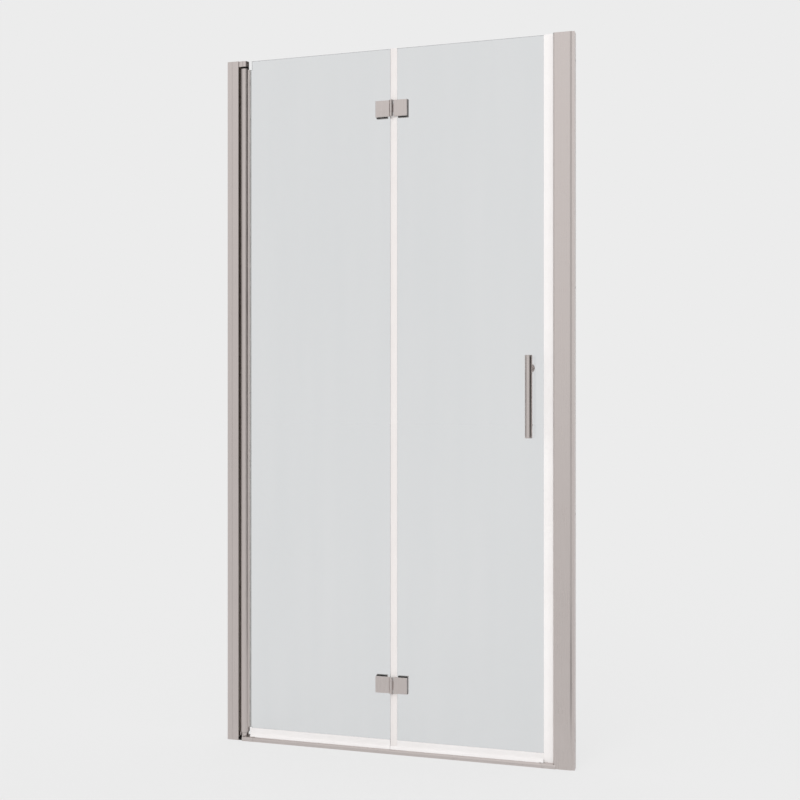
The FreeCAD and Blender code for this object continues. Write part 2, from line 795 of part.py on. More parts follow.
def make_bottom_seal(x0, x1):
    """Clip on a pane's lower edge, with a flared front skirt and a drip fin on the inside."""
    web_top = glass_bottom - soft_fit
    web_bottom = web_top - bottom_seal_web
    skirt_y = -clip_half + bottom_seal_skirt
    skirt_bottom = rail_height + bottom_skirt_clear
    skirt_bend = skirt_bottom + bottom_skirt_slope
    fin_tip = clip_half + bottom_fin_reach
    fin_top = web_bottom - bottom_fin_thickness
    outline = [
        (-clip_half - bottom_skirt_flare, skirt_bottom),
        (-clip_half, skirt_bend),
        (-clip_half, bottom_seal_top),
        (-clip_inner, bottom_seal_top),
        (-clip_inner, web_top),
        (clip_inner, web_top),
        (clip_inner, bottom_seal_top),
        (clip_half, bottom_seal_top),
        (clip_half, web_bottom),
        (fin_tip, seal_bottom + bottom_fin_thickness),
        (fin_tip - bottom_fin_thickness, seal_bottom),
        (clip_half - bottom_fin_thickness, fin_top),
        (clip_half - bottom_fin_thickness, web_bottom),
        (skirt_y, web_bottom),
        (skirt_y, skirt_bend),
        (skirt_y - bottom_skirt_flare, skirt_bottom),
    ]
    over_caps = [
        box(left_wall, cap_left_inner + bottom_skirt_notch, -channel_depth, channel_depth, 0, seal_bottom),
        box(cap_right_inner - bottom_skirt_notch, right_wall, -channel_depth, channel_depth, 0, seal_bottom),
    ]
    return cut(extrude_x(outline, x0, x1), over_caps)


save("fold_seal", *[make_fold_seal(z0, z1) for z0, z1 in fold_seal_ranges()])
save("pivot_bottom_seal", make_bottom_seal(pane_notch_x, pane_right))
save("fold_bottom_seal", make_bottom_seal(
    fold_seal_end + seal_end_gap, closing_seal_start - seal_end_gap
))


# Handle.
def make_bar():
    """Hollow bar, drilled on its pane side for the two posts."""
    half = handle_bar_length / 2 - handle_plug_thickness
    z0 = handle_height - half
    z1 = handle_height + half
    bar = rod_z(handle_x, handle_y, handle_bar_radius, z0, z1)
    bore = rod_z(handle_x, handle_y, handle_bar_radius - handle_bar_wall, z0 - 1, z1 + 1)
    sockets = [
        rod_y(handle_x, z, handle_post_radius + seat_fit, handle_y, 0)
        for z in (upper_post_z, lower_post_z)
    ]
    return cut(bar, [bore] + sockets)


def make_bar_plug(sign):
    """Rounded end of the bar with a spigot inside it."""
    joint_z = handle_height + sign * (handle_bar_length / 2 - handle_plug_thickness)
    end_z = handle_height + sign * handle_bar_length / 2
    z0, z1 = span(joint_z, end_z)
    disc = rod_z(handle_x, handle_y, handle_bar_radius, z0, z1)
    disc = disc.makeFillet(handle_plug_round, edges_at(disc.Edges, z=end_z))
    s0, s1 = span(joint_z, joint_z - sign * handle_plug_thickness)
    spigot = rod_z(handle_x, handle_y, handle_bar_radius - handle_bar_wall - seat_fit, s0, s1)
    return fuse([disc, spigot])


pane_seat = glass_half + handle_washer
post_end = handle_y + handle_bar_radius - handle_post_depth
post_starts = {upper_post_z: -pane_seat - rosette_thickness, lower_post_z: -pane_seat}
bolt_tip = -(pane_seat + rosette_thickness + handle_bolt_grip)


def make_post(z):
    post = rod_y(handle_x, z, handle_post_radius, post_end, post_starts[z])
    thread = rod_y(handle_x, z, handle_bolt_radius + seat_fit, bolt_tip - 1, 0)
    return cut(post, [thread])


def make_rosette():
    """Round base between the upper post and the pane."""
    front = -pane_seat - rosette_thickness
    disc = rod_y(handle_x, upper_post_z, rosette_radius, front, -pane_seat)
    disc = disc.makeFillet(rosette_round, edges_at(disc.Edges, y=front))
    hole = rod_y(handle_x, upper_post_z, handle_bolt_radius + hinge_screw_play, front - 1, 0)
    return cut(disc, [hole])


def make_washers():
    """Soft collars on both faces of the pane, each with a short sleeve in the hole."""
    washers = []
    for z in (upper_post_z, lower_post_z):
        for side in (-1, 1):
            y0, y1 = span(side * glass_half, side * pane_seat)
            ring = rod_y(handle_x, z, handle_washer_radius, y0, y1)
            s0, s1 = span(side * soft_fit, side * glass_half)
            sleeve = rod_y(handle_x, z, handle_hole_radius - soft_fit, s0, s1)
            hole = rod_y(handle_x, z, handle_bolt_radius + hinge_screw_play, -pane_seat - 1, pane_seat + 1)
            washers.append(cut(fuse([ring, sleeve]), [hole]))
    return washers


def make_inner_fixing(z, radius, length, rounding, grip):
    """Turned piece on the inside that the bolt screws into."""
    end = pane_seat + length
    turned = rod_y(handle_x, z, radius, pane_seat, end)
    turned = turned.makeFillet(rounding, edges_at(turned.Edges, y=end))
    thread = rod_y(handle_x, z, handle_bolt_radius + seat_fit, 0, pane_seat + grip)
    return cut(turned, [thread])


save("handle_bar", make_bar())
save("handle_bar_plugs", make_bar_plug(-1), make_bar_plug(1))
save("handle_posts", make_post(upper_post_z), make_post(lower_post_z))
save("handle_rosette", make_rosette())
save("handle_washers", *make_washers())
save("handle_bolts",
     rod_y(handle_x, upper_post_z, handle_bolt_radius, bolt_tip, pane_seat + knob_grip),
     rod_y(handle_x, lower_post_z, handle_bolt_radius, bolt_tip, pane_seat + lower_cap_grip))
save("inner_knob", make_inner_fixing(
    upper_post_z, knob_radius, knob_length, knob_round, knob_grip + seat_fit
))
save("inner_cap", make_inner_fixing(
    lower_post_z, lower_cap_radius, lower_cap_length, lower_cap_round, lower_cap_grip + seat_fit
))
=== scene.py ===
import bpy
import math
import numpy as np
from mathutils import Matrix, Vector


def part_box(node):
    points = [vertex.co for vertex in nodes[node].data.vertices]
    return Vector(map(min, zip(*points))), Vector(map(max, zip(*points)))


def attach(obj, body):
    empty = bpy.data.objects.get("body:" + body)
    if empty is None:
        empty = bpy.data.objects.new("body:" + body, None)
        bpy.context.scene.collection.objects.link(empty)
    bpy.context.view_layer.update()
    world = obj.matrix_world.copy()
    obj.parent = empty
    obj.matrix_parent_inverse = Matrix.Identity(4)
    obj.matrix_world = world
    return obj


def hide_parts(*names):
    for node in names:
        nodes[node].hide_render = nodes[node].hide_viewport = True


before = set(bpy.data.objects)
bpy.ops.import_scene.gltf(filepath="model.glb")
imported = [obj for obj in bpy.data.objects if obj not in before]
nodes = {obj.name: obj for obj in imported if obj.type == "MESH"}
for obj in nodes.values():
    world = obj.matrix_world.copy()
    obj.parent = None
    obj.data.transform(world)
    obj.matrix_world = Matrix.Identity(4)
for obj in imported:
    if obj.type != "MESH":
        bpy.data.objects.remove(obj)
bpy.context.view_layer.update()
mm = 0.001
print("door loaded:", len(nodes), "nodes")


def roundedOutline(corners, radii, steps=4):
    # each corner becomes a quadratic curve from one side to the next, cut back by its radius
    p = np.asarray(corners, float)
    r = np.broadcast_to(np.asarray(radii, float), len(p))[:, None]
    back = np.roll(p, 1, 0) - p
    ahead = np.roll(p, -1, 0) - p
    a = p + r * back / np.linalg.norm(back, axis=1, keepdims=True)
    b = p + r * ahead / np.linalg.norm(ahead, axis=1, keepdims=True)
    t = np.linspace(0, 1, steps)[None, :, None]
    curve = (1 - t) ** 2 * a[:, None] + 2 * t * (1 - t) * p[:, None] + t ** 2 * b[:, None]
    out = curve.reshape(-1, 2)
    x, y = out.T
    area = np.sum(x * np.roll(y, -1) - np.roll(x, -1) * y)
    return out if area > 0 else out[::-1]


def tubeFaces(rings, around, closed=False):
    # quads between ring i and ring i+1 of a grid of points, and a face over each open end
    i, j = np.meshgrid(np.arange(rings if closed else rings - 1), np.arange(around), indexing="ij")
    up, on = (i + 1) % rings, (j + 1) % around
    quads = np.stack([i * around + j, i * around + on, up * around + on, up * around + j], -1)
    ring = np.arange(around)
    ends = [] if closed else [ring[::-1], ring + (rings - 1) * around]
    return quads.reshape(-1, 4), ends


def addPiece(name, parts, body, finish, replaced, sharp=35):
    # each part is a grid of points with its quads and end faces; they become one mesh at the origin
    points, faces, start = [], [], 0
    for grid, (quads, ends) in parts:
        flat = grid.reshape(-1, 3)
        points.append(flat)
        faces += (quads + start).tolist() + [(end + start).tolist() for end in ends]
        start += len(flat)
    mesh = bpy.data.meshes.new(name)
    mesh.from_pydata(np.concatenate(points).tolist(), [], faces)
    mesh.validate()
    mesh.shade_smooth()
    mesh.set_sharp_from_angle(angle=math.radians(sharp))
    mesh.materials.append(finish)
    obj = bpy.data.objects.new(name, mesh)
    bpy.context.scene.collection.objects.link(obj)
    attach(obj, body)
    if replaced:
        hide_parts(*replaced)


wave = {"sway": 9.1, "ripple": 23.0, "fine": 61.0, "fineShare": 0.5}


def carryUp(outline, z0, z1, size=0.0, phase=0.0, gap=0.03):
    # the outline in X and Y carried up Z, with a slow sine sway across it that dies out at both ends
    z = np.linspace(z0, z1, max(3, int((z1 - z0) / gap)))
    sway = size * np.sin(z * wave["sway"] + phase) * np.sin(math.pi * (z - z0) / (z1 - z0))
    grid = np.empty((len(z), len(outline), 3))
    grid[..., 0] = outline[None, :, 0]
    grid[..., 1] = outline[None, :, 1] + sway[:, None]
    grid[..., 2] = z[:, None]
    return grid, tubeFaces(len(z), len(outline))


def carryAcross(outline, stations, soft, lowest, size=0.0, phase=0.0):
    # the outline in Y and Z carried along X; its soft points ripple in Y by two sines,
    # and no point hangs below the lowest height at its station
    fine = wave["fineShare"] * np.sin(stations * wave["fine"] + 2 * phase)
    ripple = size * (np.sin(stations * wave["ripple"] + phase) + fine)
    grid = np.empty((len(stations), len(outline), 3))
    grid[..., 0] = stations[:, None]
    grid[..., 1] = outline[None, :, 0] + ripple[:, None] * soft[None, :]
    grid[..., 2] = np.maximum(outline[None, :, 1], lowest[:, None])
    return grid, tubeFaces(len(stations), len(outline))


padEdge = 0.98


def softPad(x0, x1, y0, y1, z0, z1, corner, bulge, rings=7):
    # a rounded rectangle carried through the pad's thickness, drawn in at both faces by a half circle
    # that stops just short of its ends
    outline = roundedOutline([(x0, z0), (x1, z0), (x1, z1), (x0, z1)], corner, 5)[::-1]
    middle = np.array([(x0 + x1) / 2, (z0 + z1) / 2])
    half = np.array([(x1 - x0) / 2, (z1 - z0) / 2])
    t = np.linspace(-1, 1, rings)
    inset = bulge * (1 - np.sqrt(1 - (padEdge * t) ** 2))
    grid = np.empty((rings, len(outline), 3))
    shrink = 1 - inset[:, None, None] / half[None, None, :]
    flat = middle + (outline[None] - middle) * shrink
    grid[..., 0] = flat[..., 0]
    grid[..., 1] = ((y0 + y1) / 2 + t * (y1 - y0) / 2)[:, None]
    grid[..., 2] = flat[..., 1]
    return grid, tubeFaces(rings, len(outline))


def turnedRing(x, z, section, around=40):
    # a closed outline of radius and Y turned once round an axis along Y
    angle = np.linspace(0, 2 * math.pi, around, endpoint=False)
    grid = np.empty((around, len(section), 3))
    grid[..., 0] = x + section[None, :, 0] * np.cos(angle)[:, None]
    grid[..., 1] = section[None, :, 1]
    grid[..., 2] = z + section[None, :, 0] * np.sin(angle)[:, None]
    return grid, tubeFaces(around, len(section), closed=True)


def newFinish(name):
    # an empty finish: the material, its node tree and its main shader
    mat = bpy.data.materials.new(name)
    mat.use_nodes = True
    tree = mat.node_tree
    shader = tree.nodes["Principled BSDF"]
    return mat, tree, shader


def stretchedNoise(tree, scale, noiseScale, detail=3.0, rough=0.55):
    # noise on the piece's own coordinates, drawn out along the axis with the smallest scale
    coord = tree.nodes.new("ShaderNodeTexCoord")
    mapping = tree.nodes.new("ShaderNodeMapping")
    mapping.inputs["Scale"].default_value = scale
    noise = tree.nodes.new("ShaderNodeTexNoise")
    noise.inputs["Scale"].default_value = noiseScale
    noise.inputs["Detail"].default_value = detail
    noise.inputs["Roughness"].default_value = rough
    tree.links.new(coord.outputs["Object"], mapping.inputs["Vector"])
    tree.links.new(mapping.outputs["Vector"], noise.inputs["Vector"])
    return noise.outputs["Fac"]


def ramp(tree, source, low, high, fromLow=0.3, fromHigh=0.7):
    # the source's middle range spread evenly from low to high
    node = tree.nodes.new("ShaderNodeMapRange")
    node.inputs["From Min"].default_value = fromLow
    node.inputs["From Max"].default_value = fromHigh
    node.inputs["To Min"].default_value = low
    node.inputs["To Max"].default_value = high
    tree.links.new(source, node.inputs["Value"])
    return node.outputs["Result"]


def tint(tree, source, dark, light, fromLow=0.3, fromHigh=0.7):
    # the same for two colours
    node = tree.nodes.new("ShaderNodeValToRGB")
    node.color_ramp.elements[0].position = fromLow
    node.color_ramp.elements[1].position = fromHigh
    node.color_ramp.elements[0].color = (*dark, 1)
    node.color_ramp.elements[1].color = (*light, 1)
    tree.links.new(source, node.inputs["Fac"])
    return node.outputs["Color"]


def bump(tree, shader, source, strength, distance):
    # fine relief in the gloss only
    node = tree.nodes.new("ShaderNodeBump")
    node.inputs["Strength"].default_value = strength
    node.inputs["Distance"].default_value = distance
    tree.links.new(source, node.inputs["Height"])
    tree.links.new(node.outputs["Normal"], shader.inputs["Normal"])


nickel = {
    "light": (0.690, 0.628, 0.606),
    "dark": (0.640, 0.580, 0.558),
    "roughLow": 0.25,
    "roughHigh": 0.36,
    "grain": 900.0,
    "along": 7.0,
    "cloud": 14.0,
    "cloudShare": 0.35,
    "bump": 0.05,
    "depth": 0.0002,
    # painted shade: the hinge jamb's pocket colour, darker than the metal, standing in for the shade in the
    # recess
    "pocketShade": (0.390, 0.352, 0.312),
}


def within(tree, coord, axis, low, high):
    # 1 where the piece's own coordinate on that axis lies between low and high
    split = tree.nodes.new("ShaderNodeSeparateXYZ")
    tree.links.new(coord, split.inputs[0])
    node = tree.nodes.new("ShaderNodeMath")
    node.operation = "COMPARE"
    node.inputs[1].default_value = (low + high) / 2
    node.inputs[2].default_value = (high - low) / 2
    tree.links.new(split.outputs[axis], node.inputs[0])
    return node.outputs[0]


def brushedNickel(name, axis, pocket=None, coarse=1.0):
    # fine lines along one axis for colour, gloss and bump, mixed with slow cloudy patches;
    # inside a pocket given as X and Y ranges the colour is a dark painted shade for the recess; coarse above
    # 1 takes gloss away
    mat, tree, shader = newFinish(name)
    scale = [nickel["grain"]] * 3
    scale[axis] = nickel["along"]
    lines = stretchedNoise(tree, scale, 1.0, 2.0)
    cloud = stretchedNoise(tree, (1, 1, 1), nickel["cloud"], 2.0)
    mix = tree.nodes.new("ShaderNodeMath")
    mix.operation = "MULTIPLY_ADD"
    mix.inputs[1].default_value = nickel["cloudShare"]
    tree.links.new(cloud, mix.inputs[0])
    part = tree.nodes.new("ShaderNodeMath")
    part.operation = "MULTIPLY"
    part.inputs[1].default_value = 1 - nickel["cloudShare"]
    tree.links.new(lines, part.inputs[0])
    tree.links.new(part.outputs[0], mix.inputs[2])
    shader.inputs["Metallic"].default_value = 1.0
    colour = tint(tree, mix.outputs[0], nickel["dark"], nickel["light"])
    if pocket:
        coord = tree.nodes.new("ShaderNodeTexCoord").outputs["Object"]
        both = tree.nodes.new("ShaderNodeMath")
        both.operation = "MULTIPLY"
        tree.links.new(within(tree, coord, "X", *pocket[0]), both.inputs[0])
        tree.links.new(within(tree, coord, "Y", *pocket[1]), both.inputs[1])
        # painted shade over the pocket's range
        pocketShadeMix = tree.nodes.new("ShaderNodeMix")
        pocketShadeMix.data_type = "RGBA"
        pocketShadeMix.inputs["B"].default_value = (*nickel["pocketShade"], 1)
        tree.links.new(both.outputs[0], pocketShadeMix.inputs["Factor"])
        tree.links.new(colour, pocketShadeMix.inputs["A"])
        colour = pocketShadeMix.outputs["Result"]
    tree.links.new(colour, shader.inputs["Base Color"])
    rough = ramp(tree, mix.outputs[0], nickel["roughLow"] * coarse, nickel["roughHigh"] * coarse)
    tree.links.new(rough, shader.inputs["Roughness"])
    bump(tree, shader, lines, nickel["bump"], nickel["depth"])
    return mat


plastic = {
    "grain": 1400.0,
    "cloud": 30.0,
    "metal": 0.85,
    "dark": (0.60, 0.545, 0.525),
    "light": (0.655, 0.60, 0.58),
    "rough": (0.34, 0.46),
    "bump": 0.08,
    "depth": 0.0001,
}


def platedPlastic(name):
    # moulded caps in the same colour, softer gloss and a fine spark texture
    mat, tree, shader = newFinish(name)
    grain = stretchedNoise(tree, (1, 1, 1), plastic["grain"], 3.0)
    cloud = stretchedNoise(tree, (1, 1, 1), plastic["cloud"], 2.0)
    shader.inputs["Metallic"].default_value = plastic["metal"]
    tree.links.new(tint(tree, cloud, plastic["dark"], plastic["light"]), shader.inputs["Base Color"])
    tree.links.new(ramp(tree, grain, *plastic["rough"]), shader.inputs["Roughness"])
    bump(tree, shader, grain, plastic["bump"], plastic["depth"])
    return mat


steel = {
    "grain": 600.0,
    "dark": (0.50, 0.50, 0.50),
    "light": (0.60, 0.60, 0.595),
    "rough": (0.18, 0.34),
}


def screwSteel(name):
    # plain steel with a fine uneven gloss
    mat, tree, shader = newFinish(name)
    grain = stretchedNoise(tree, (1, 1, 1), steel["grain"], 3.0)
    shader.inputs["Metallic"].default_value = 1.0
    tree.links.new(tint(tree, grain, steel["dark"], steel["light"]), shader.inputs["Base Color"])
    tree.links.new(ramp(tree, grain, *steel["rough"]), shader.inputs["Roughness"])
    return mat


nylon = {"grain": 900.0, "rough": (0.5, 0.7), "specular": 0.2, "bump": 0.1, "depth": 0.0001}


def darkNylon(name, dark, light):
    # dull moulded or foamed piece with a fine grain
    mat, tree, shader = newFinish(name)
    grain = stretchedNoise(tree, (1, 1, 1), nylon["grain"], 3.0)
    tree.links.new(tint(tree, grain, dark, light), shader.inputs["Base Color"])
    tree.links.new(ramp(tree, grain, *nylon["rough"]), shader.inputs["Roughness"])
    shader.inputs["Specular IOR Level"].default_value = nylon["specular"]
    bump(tree, shader, grain, nylon["bump"], nylon["depth"])
    return mat


white = {
    "grain": 1100.0,
    "along": 4.0,
    "cloud": 9.0,
    "dark": (0.815, 0.786, 0.776),
    "light": (0.845, 0.822, 0.813),
    "rough": (0.36, 0.52),
    "bump": 0.06,
    "depth": 0.0002,
}


def whiteStrip(name, axis, tone=(1, 1, 1)):
    # soft white extrusion: faint drawn lines along its length and slow patches of warmth;
    # the tone scales the colour as painted light or painted shade on one and the same white
    mat, tree, shader = newFinish(name)
    scale = [white["grain"]] * 3
    scale[axis] = white["along"]
    lines = stretchedNoise(tree, scale, 1.0, 2.0)
    cloud = stretchedNoise(tree, (1, 1, 1), white["cloud"], 3.0)
    dark, light = np.multiply(white["dark"], tone), np.multiply(white["light"], tone)
    tree.links.new(tint(tree, cloud, dark, light), shader.inputs["Base Color"])
    tree.links.new(ramp(tree, lines, *white["rough"]), shader.inputs["Roughness"])
    bump(tree, shader, lines, white["bump"], white["depth"])
    return mat


gasket = {"cloud": 60.0, "rough": (0.32, 0.48), "through": 0.12, "ior": 1.45}


def softGasket(name, dark, light):
    # cloudy soft strip that lets a little light through
    mat, tree, shader = newFinish(name)
    cloud = stretchedNoise(tree, (1, 1, 1), gasket["cloud"], 3.0)
    tree.links.new(tint(tree, cloud, dark, light), shader.inputs["Base Color"])
    tree.links.new(ramp(tree, cloud, *gasket["rough"]), shader.inputs["Roughness"])
    shader.inputs["Transmission Weight"].default_value = gasket["through"]
    shader.inputs["IOR"].default_value = gasket["ior"]
    return mat


glass = {
    "clear": (0.815, 0.829, 0.838),
    "cloudy": (0.832, 0.843, 0.851),
    "film": (14, 14, 1.2),
    "rough": (0.0, 0.02),
    "ior": 1.5,
    "lampTint": (0.86, 0.87, 0.875, 1),
}


def clearGlass(name):
    # clear pane: lamp light passes straight through, sight is bent and tinted,
    # and a faint upright film shows in the gloss
    mat, tree, shader = newFinish(name)
    film = stretchedNoise(tree, glass["film"], 1.0, 2.0)
    tree.links.new(tint(tree, film, glass["clear"], glass["cloudy"]), shader.inputs["Base Color"])
    tree.links.new(ramp(tree, film, *glass["rough"]), shader.inputs["Roughness"])
    shader.inputs["Transmission Weight"].default_value = 1.0
    shader.inputs["IOR"].default_value = glass["ior"]
    through = tree.nodes.new("ShaderNodeBsdfTransparent")
    through.inputs["Color"].default_value = glass["lampTint"]
    path = tree.nodes.new("ShaderNodeLightPath")
    mix = tree.nodes.new("ShaderNodeMixShader")
    tree.links.new(path.outputs["Is Shadow Ray"], mix.inputs["Fac"])
    tree.links.new(shader.outputs["BSDF"], mix.inputs[1])
    tree.links.new(through.outputs["BSDF"], mix.inputs[2])
    tree.links.new(mix.outputs["Shader"], tree.nodes["Material Output"].inputs["Surface"])
    return mat


# X and Y ranges of the hinge jamb's pocket, inside which its metal gets a painted shade
pocketRange = ((-0.4696, -0.4605), (-0.01195, 0.01195))

finishes = {
    "uprightNickel": brushedNickel("uprightNickel", 2),
    # the hinge jamb's nickel with painted shade in its pocket
    "pocketShadeNickel": brushedNickel("pocketShadeNickel", 2, pocketRange),
    "railNickel": brushedNickel("railNickel", 0),
    "fittingNickel": brushedNickel("fittingNickel", 2),
    "turnedNickel": brushedNickel("turnedNickel", 1),
    "barNickel": brushedNickel("barNickel", 2, coarse=0.85),
    "stileNickel": brushedNickel("stileNickel", 2, coarse=1.35),
    "capPlastic": platedPlastic("capPlastic"),
    "screwSteel": screwSteel("screwSteel"),
    "darkNylon": darkNylon("darkNylon", (0.004, 0.0035, 0.003), (0.009, 0.008, 0.007)),
    "padRubber": darkNylon("padRubber", (0.020, 0.018, 0.016), (0.032, 0.029, 0.026)),
    "magnetBar": darkNylon("magnetBar", (0.014, 0.014, 0.014), (0.026, 0.026, 0.026)),
    # the same white, with painted light on the closing strips and painted shade on the fold strip
    "closingWhitePaintedLight": whiteStrip("closingWhitePaintedLight", 2, (1.06, 1.06, 1.06)),
    "foldWhitePaintedShade": whiteStrip("foldWhitePaintedShade", 2, (0.963, 0.945, 0.936)),
    "levelStrip": whiteStrip("levelStrip", 0),
    "clearGasket": softGasket("clearGasket", (0.70, 0.695, 0.685), (0.78, 0.775, 0.765)),
    "greyGasket": softGasket("greyGasket", (0.57, 0.548, 0.528), (0.63, 0.608, 0.588)),
    "paneGlass": clearGlass("paneGlass"),
}

wearing = {
    "uprightNickel": ["hinge_wall_channel", "strike_wall_channel", "strike_jamb"],
    "stileNickel": ["pivot_stile"],
    "pocketShadeNickel": ["pivot_jamb"],
    "railNickel": ["threshold_rail"],
    "fittingNickel": ["top_pivot_block", "bottom_pivot_block",
                      "top_hinge_pivot_plate", "bottom_hinge_pivot_plate",
                      "top_hinge_pivot_clamp", "bottom_hinge_pivot_clamp",
                      "top_hinge_fold_plate", "bottom_hinge_fold_plate",
                      "top_hinge_fold_clamp", "bottom_hinge_fold_clamp"],
    "barNickel": ["handle_bar"],
    "turnedNickel": ["handle_posts", "handle_rosette", "inner_knob", "inner_cap"],
    "capPlastic": ["rail_cap_hinge", "rail_cap_strike", "pivot_jamb_plug", "strike_jamb_plug",
                   "handle_bar_plugs"],
    "screwSteel": ["pivot_jamb_screws", "strike_jamb_screws", "top_pivot_pin", "bottom_pivot_pin",
                   "pivot_block_screws", "top_hinge_pin", "bottom_hinge_pin",
                   "pivot_hinge_screws", "fold_hinge_screws", "handle_bolts"],
    "darkNylon": ["top_pivot_bush", "bottom_pivot_bush"],
    "magnetBar": ["strike_magnet", "door_magnet"],
    "paneGlass": ["pivot_pane", "fold_pane"],
}
for finishName, names in wearing.items():
    for nodeName in names:
        slots = nodes[nodeName].data.materials
        slots.clear()
        slots.append(finishes[finishName])
print("finishes on", sum(len(v) for v in wearing.values()), "nodes")

paneLow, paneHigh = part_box("fold_pane")
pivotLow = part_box("pivot_pane")[0]

# shared by the white strips and the stile's gasket
strip = {
    "round": 0.9 * mm,
    "fine": 0.3 * mm,
    "crispShare": 0.3,
    "slit": 0.2 * mm,
    "magnetHalf": 4.3 * mm,
    "clipHalf": 4.35 * mm,
    "gripHalf": 3.05 * mm,
    "play": 0.1 * mm,
    "backShort": 1.5 * mm,
    "sway": 0.06 * mm,
    "phaseStep": 1.7,
    "rest": 0.1 * mm,
    "hingeClear": 0.5 * mm,
}
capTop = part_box("rail_cap_strike")[1].z + strip["rest"]
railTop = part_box("threshold_rail")[1].z + strip["rest"]


def nodeSpan(node):
    # the node's lowest and highest Z
    low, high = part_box(node)
    return (low.z, high.z)


def uprightStrip(name, outline, spans, body, finish, node):
    # the outline carried up each of the spans, every length with its own sway
    parts = [carryUp(outline, z0, z1, strip["sway"], strip["phaseStep"] * i)
             for i, (z0, z1) in enumerate(spans)]
    addPiece(name, parts, body, finishes[finish], [node])


closingStrip = {"bulb": 6.6 * mm, "touch": 0.03 * mm}


def closingStripOutline():
    # clip round the pane's edge, then a round-cornered bulb with the magnet's chamber behind its face
    low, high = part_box("closing_seal")
    magnetLow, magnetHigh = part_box("door_magnet")
    h, g, s, m = strip["clipHalf"], strip["gripHalf"], strip["slit"], strip["magnetHalf"]
    web = high.x - closingStrip["bulb"]
    edge = paneHigh.x + strip["play"]
    back = low.x + strip["backShort"]
    inner, outer = magnetLow.x - strip["play"], magnetHigh.x + strip["play"]
    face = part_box("strike_seal")[0].x - closingStrip["touch"]
    corners = [(low.x, -g), (low.x, -h), (web, -h), (web, low.y), (face, low.y), (face, high.y),
               (web, high.y), (web, h), (back, h), (back, g), (edge, g), (edge, s), (inner, s), (inner, m),
               (outer, m), (outer, -m), (inner, -m), (inner, -s), (edge, -s), (edge, -g)]
    f, crisp = strip["fine"], strip["fine"] * strip["crispShare"]
    return roundedOutline(corners, [f] * 4 + [crisp] * 2 + [f] * 4 + [crisp] * 10, 5)


strikeStrip = {"bulb": 8.3 * mm, "head": 1.2 * mm, "neckHalf": 1.7 * mm, "headHalf": 3.5 * mm}


def strikeStripOutline():
    # the jamb's strip: a bulb with its magnet chamber and a T root that slides in the jamb's slot
    low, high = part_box("strike_seal")
    magnetLow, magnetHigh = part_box("strike_magnet")
    s, m = strip["slit"], strip["magnetHalf"]
    bulb = low.x + strikeStrip["bulb"]
    head = high.x - strikeStrip["head"]
    inner, outer = magnetLow.x - strip["play"], magnetHigh.x + strip["play"]
    n, t = strikeStrip["neckHalf"], strikeStrip["headHalf"]
    corners = [(low.x, low.y), (bulb, low.y), (bulb, -n), (head, -n), (head, -t), (high.x, -t), (high.x, -s),
               (outer, -s), (outer, -m), (inner, -m), (inner, m), (outer, m), (outer, s),
               (high.x, s), (high.x, t), (head, t), (head, n), (bulb, n), (bulb, high.y), (low.x, high.y)]
    f, r, crisp = strip["fine"], strip["round"], strip["fine"] * strip["crispShare"]
    return roundedOutline(corners, [crisp, r / 2] + [f / 2] * 16 + [r / 2, crisp], 5)


foldStrip = {"web": 1.4 * mm}


def foldStripOutline():
    # clip on the hinge edge of the pane, with a round nose that brushes the other pane
    low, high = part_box("fold_seal")
    h, g = strip["clipHalf"], strip["gripHalf"]
    web = paneLow.x - foldStrip["web"]
    nose = h - strip["play"]
    edge = paneLow.x - strip["play"]
    back = high.x - strip["backShort"]
    corners = [(high.x, -h), (high.x, -g), (edge, -g), (edge, g), (back, g), (back, h), (web, h), (web, nose),
               (low.x, nose), (low.x, -nose), (web, -nose), (web, -h)]
    f, r = strip["fine"], strip["round"]
    return roundedOutline(corners, [f] * 8 + [r] * 2 + [f] * 2, 6)


stileGasket = {"lip": 0.5 * mm, "root": 0.1 * mm}


def gasketOutline():
    # a U round the pane's edge inside the stile's slot, with soft rounded lips
    low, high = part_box("glazing_gasket")
    g = strip["gripHalf"]
    edge = pivotLow.x - strip["play"]
    corners = [(high.x, low.y), (high.x, -g), (edge, -g), (edge, g), (high.x, g), (high.x, high.y),
               (low.x, high.y), (low.x, low.y)]
    lip, root = stileGasket["lip"], stileGasket["root"]
    return roundedOutline(corners, [lip] * 2 + [root] * 2 + [lip] * 4, 5)


hingeTop, hingeBottom = nodeSpan("top_hinge_fold_plate"), nodeSpan("bottom_hinge_fold_plate")
clear = strip["hingeClear"]
foldSpans = [(railTop, hingeBottom[0] - clear), (hingeBottom[1] + clear, hingeTop[0] - clear),
             (hingeTop[1] + clear, nodeSpan("fold_seal")[1])]
uprightStrip("closingStrip", closingStripOutline(), [(capTop, nodeSpan("closing_seal")[1])],
             "fold_leaf", "closingWhitePaintedLight", "closing_seal")
uprightStrip("strikeStrip", strikeStripOutline(), [(capTop, nodeSpan("strike_seal")[1])],
             "frame", "closingWhitePaintedLight", "strike_seal")
uprightStrip("foldStrip", foldStripOutline(), foldSpans,
             "fold_leaf", "foldWhitePaintedShade", "fold_seal")
uprightStrip("stileGasket", gasketOutline(), [nodeSpan("glazing_gasket")],
             "pivot_leaf", "greyGasket", "glazing_gasket")

bottom = {
    "web": 1.6 * mm,
    "flareHeight": 8.0 * mm,
    "skirt": 1.6 * mm,
    "skirtDrop": 0.42 * mm,
    "fin": 1.2 * mm,
    "finFront": (2.4 * mm, 1.9 * mm),
    "finBack": (0.9 * mm, 2.6 * mm),
    "round": 0.28 * mm,
    "bendOuter": 5.0 * mm,
    "bendInner": 4.0 * mm,
    "notch": 5.0 * mm,
    "cut": 0.02 * mm,
    "ripple": 0.10 * mm,
    "pivotPhase": 0.4,
    "foldPhase": 1.9,
    "stations": 24,
    "endGap": 0.45 * mm,
    "stileReach": 3.0 * mm,
}


